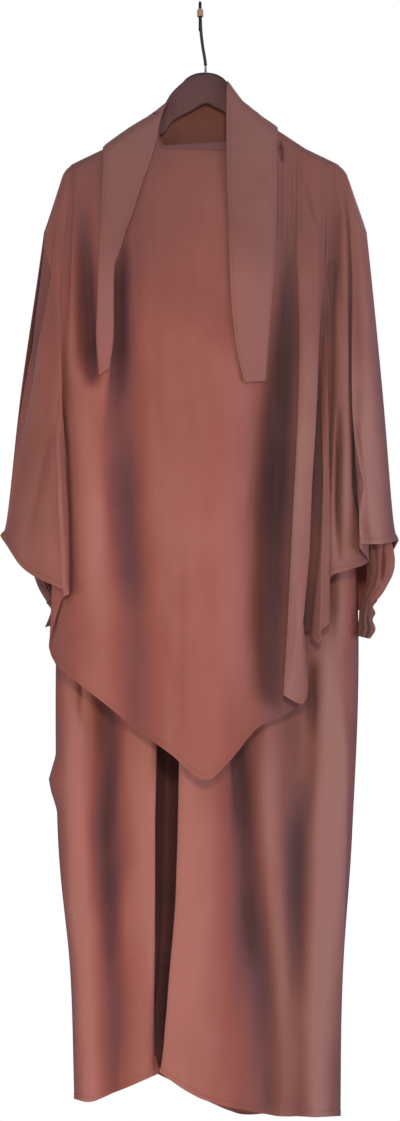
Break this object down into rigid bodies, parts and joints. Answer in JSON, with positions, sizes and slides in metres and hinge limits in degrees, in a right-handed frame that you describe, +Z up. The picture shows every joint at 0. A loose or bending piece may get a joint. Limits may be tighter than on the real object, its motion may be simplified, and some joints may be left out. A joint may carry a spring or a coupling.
{
  "type": "djellaba robe with cape on hanger",
  "caption": "Ankle-length robe with gathered cuffs under a long pointed cape with neck ties, hanging flat and empty on a slim hanger.",
  "frame": {"origin": "where a rail carries the hook: the inside top of its arch", "axes": "+Z up, +Y towards the garment's back, +X to the right of someone who faces its front"},
  "size_m": [0.5779, 0.1822, 1.6269],
  "materials": {
    "crepe": "soft matte crepe, dusty terracotta",
    "crepe_shade": "soft matte crepe, gathered or doubled",
    "hanger_coat": "black matte",
    "hook_wire": "black enamel",
    "hook_ring": "beige"
  },
  "bodies": {
    "root": {"hanger_body": "hanger_coat", "hanger_hook": "hook_wire", "hook_sleeve": "hook_ring", "robe_front": "crepe", "robe_back": "crepe", "robe_sleeve_left": "crepe", "robe_sleeve_right": "crepe", "robe_cuff_left": "crepe_shade", "robe_cuff_right": "crepe_shade", "cape_front": "crepe", "cape_back": "crepe", "cape_side_front_left": "crepe", "cape_side_front_right": "crepe", "cape_side_back_left": "crepe", "cape_side_back_right": "crepe", "cape_neck_binding": "crepe_shade", "cape_head_band": "crepe_shade", "tie_left": "crepe", "tie_right": "crepe"}
  },
  "joints": []
}
